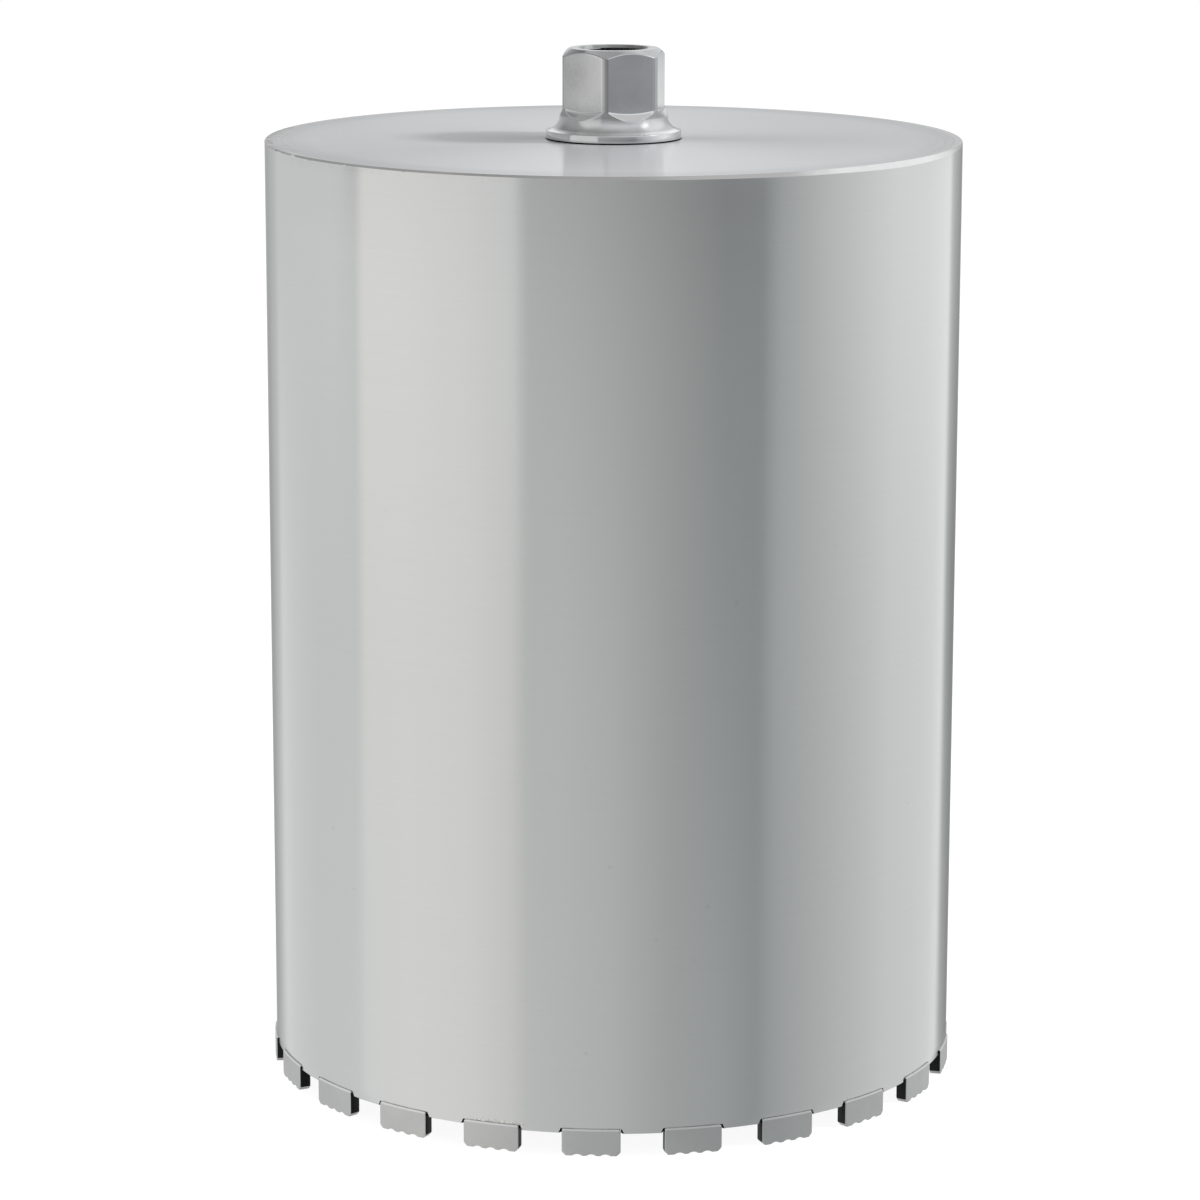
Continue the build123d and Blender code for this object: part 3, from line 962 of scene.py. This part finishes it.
def tent_material():
    """Glowing panels, whose rings blend into each other from the bottom up."""
    material, nodes = new_material("light tent")
    x, y, z = nodes.split(nodes.position())
    angle = nodes.math("ARCTAN2", x, nodes.times(y, -1.0))
    turn = nodes.plus(nodes.math("DIVIDE", angle, TURN), 0.5)
    colour = panel_ramp(nodes, turn, SEGMENTS_RING, wall_colour)
    for stops, low, high, colour_of in TENT_RINGS:
        share = nodes.span(z, low, high, smooth=False)
        colour = nodes.mix(share, colour, panel_ramp(nodes, turn, stops, colour_of))
    glow = nodes.add("ShaderNodeEmission", {"Color": colour, "Strength": 1.0})
    output = nodes.add("ShaderNodeOutputMaterial")
    nodes.tree.links.new(glow.outputs[0], output.inputs[0])
    material.cycles.emission_sampling = "NONE"
    return material


def make_tent():
    """Build a round light tent that only reflections see."""
    ends = (-TENT_TOP, TENT_TOP)
    rows = [[around(azimuth, TENT_RADIUS, z) for z in ends] for azimuth in evenly(0, TURN, 256)]
    tent = new_object("light_tent", grid_mesh("light_tent", rows, True, False))
    tent.visible_camera = False
    tent.visible_diffuse = False
    tent.visible_shadow = False
    tent.data.materials.append(tent_material())


def ceiling_colour(nodes):
    """Return what reflections see past the tent, dim at the left and bright at the right."""
    sideways, backward, up = nodes.split(nodes.add("ShaderNodeTexCoord").outputs["Generated"])
    zenith = nodes.mix(nodes.span(sideways, 0.05, 0.25), grey(0.49), grey(0.69))
    colour = nodes.mix(nodes.span(backward, -0.45, -0.2), grey(0.85), zenith)
    colour = nodes.mix(nodes.span(backward, 0.2, 0.4), colour, grey(1.0))
    colour = nodes.mix(nodes.span(sideways, -0.6, -0.1), grey(0.28), colour)
    colour = nodes.mix(nodes.span(sideways, 0.56, 0.60), colour, grey(1.10))
    return nodes.mix(nodes.span(up, 0.0, -0.2), colour, grey(0.45))


def make_world():
    """Set a world that is white to the camera, a ceiling in reflections and soft light elsewhere."""
    world = bpy.data.worlds.new("studio")
    bpy.context.scene.world = world
    world.use_nodes = True
    world.cycles.sampling_method = "NONE"
    nodes = Nodes(world.node_tree)
    path = nodes.add("ShaderNodeLightPath")
    colour = nodes.mix(path.outputs["Is Glossy Ray"], grey(0.60), ceiling_colour(nodes))
    direct = nodes.math("MAXIMUM", path.outputs["Is Camera Ray"], path.outputs["Is Transmission Ray"])
    colour = nodes.mix(direct, colour, grey(1.0))
    background = nodes.add("ShaderNodeBackground", {"Color": colour, "Strength": 1.0})
    output = nodes.add("ShaderNodeOutputWorld")
    nodes.tree.links.new(background.outputs[0], output.inputs[0])


def floor_material():
    """White paint that nearly glows by itself, and clear from below."""
    material, nodes = new_material("floor white")
    paint = nodes.add("ShaderNodeBsdfDiffuse", {"Color": grey(0.20)})
    glow = nodes.add("ShaderNodeEmission", {"Color": grey(1.0), "Strength": 0.92})
    mixed = nodes.add("ShaderNodeAddShader", {0: paint.outputs[0], 1: glow.outputs[0]})
    clear = nodes.add("ShaderNodeBsdfTransparent")
    below = nodes.add("ShaderNodeNewGeometry").outputs["Backfacing"]
    chosen = nodes.add("ShaderNodeMixShader", {0: below, 1: mixed.outputs[0], 2: clear.outputs[0]})
    output = nodes.add("ShaderNodeOutputMaterial")
    nodes.tree.links.new(chosen.outputs[0], output.inputs[0])
    return material


def make_floor():
    """Build a white floor that keeps the bit's soft shadow and doesn't show in its steel."""
    size = 6.0
    rows = [[(-size, -size, 0), (-size, size, 0)], [(size, -size, 0), (size, size, 0)]]
    floor = new_object("floor", grid_mesh("floor", rows, False, False))
    floor.visible_glossy = False
    floor.visible_diffuse = False
    floor.visible_shadow = False
    floor.data.materials.append(floor_material())


def make_lamp():
    """Place a soft lamp to the right of the bit, which reflections do not show."""
    data = bpy.data.lights.new("soft lamp", "AREA")
    data.shape = "SQUARE"
    data.size = 0.35
    data.energy = 56.0
    lamp = bpy.data.objects.new("soft lamp", data)
    bpy.context.scene.collection.objects.link(lamp)
    lamp.visible_glossy = False
    lamp.location = (2.0, -0.1, 1.6)
    aim = Vector((0, 0, 0.4)) - lamp.location
    lamp.rotation_euler = aim.to_track_quat("-Z", "Y").to_euler()


def make_camera():
    """Place the camera where the photograph was taken from."""
    data = bpy.data.cameras.new("camera")
    data.lens = LENS
    data.sensor_width = SENSOR
    data.sensor_fit = "HORIZONTAL"
    data.clip_end = 100
    camera = bpy.data.objects.new("camera", data)
    bpy.context.scene.collection.objects.link(camera)
    place = Matrix.Translation((0, -CAMERA_DISTANCE, CAMERA_HEIGHT))
    turn = Matrix.Rotation(CAMERA_YAW, 4, "Z")
    tilt = Matrix.Rotation(math.pi / 2 - CAMERA_PITCH, 4, "X")
    roll = Matrix.Rotation(CAMERA_ROLL, 4, "Z")
    camera.matrix_world = place @ turn @ tilt @ roll
    bpy.context.scene.camera = camera


def dress(piece, node, material):
    """Put a material on a piece and let it stand for a node of the frame."""
    piece.data.materials.append(material)
    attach(piece, "root")
    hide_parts(node)


def make_pieces():
    """Build the bit's pieces and dress them in their materials."""
    weld = weld_material()
    metal = segment_material()
    dress(make_barrel(), "barrel_tube", barrel_material())
    dress(make_plate(), "end_plate", plate_material())
    dress(make_rim_weld(), "rim_weld", weld)
    dress(make_hub(), "hub", hub_material())
    dress(make_hub_weld(), "hub_weld", weld)
    for number in range(1, SEGMENT_COUNT + 1):
        dress(make_segment(number), f"segment_{number:02d}", metal)


def main():
    make_world()
    make_tent()
    make_floor()
    make_lamp()
    make_camera()
    make_pieces()
    bpy.context.scene.view_settings.view_transform = "Standard"


main()
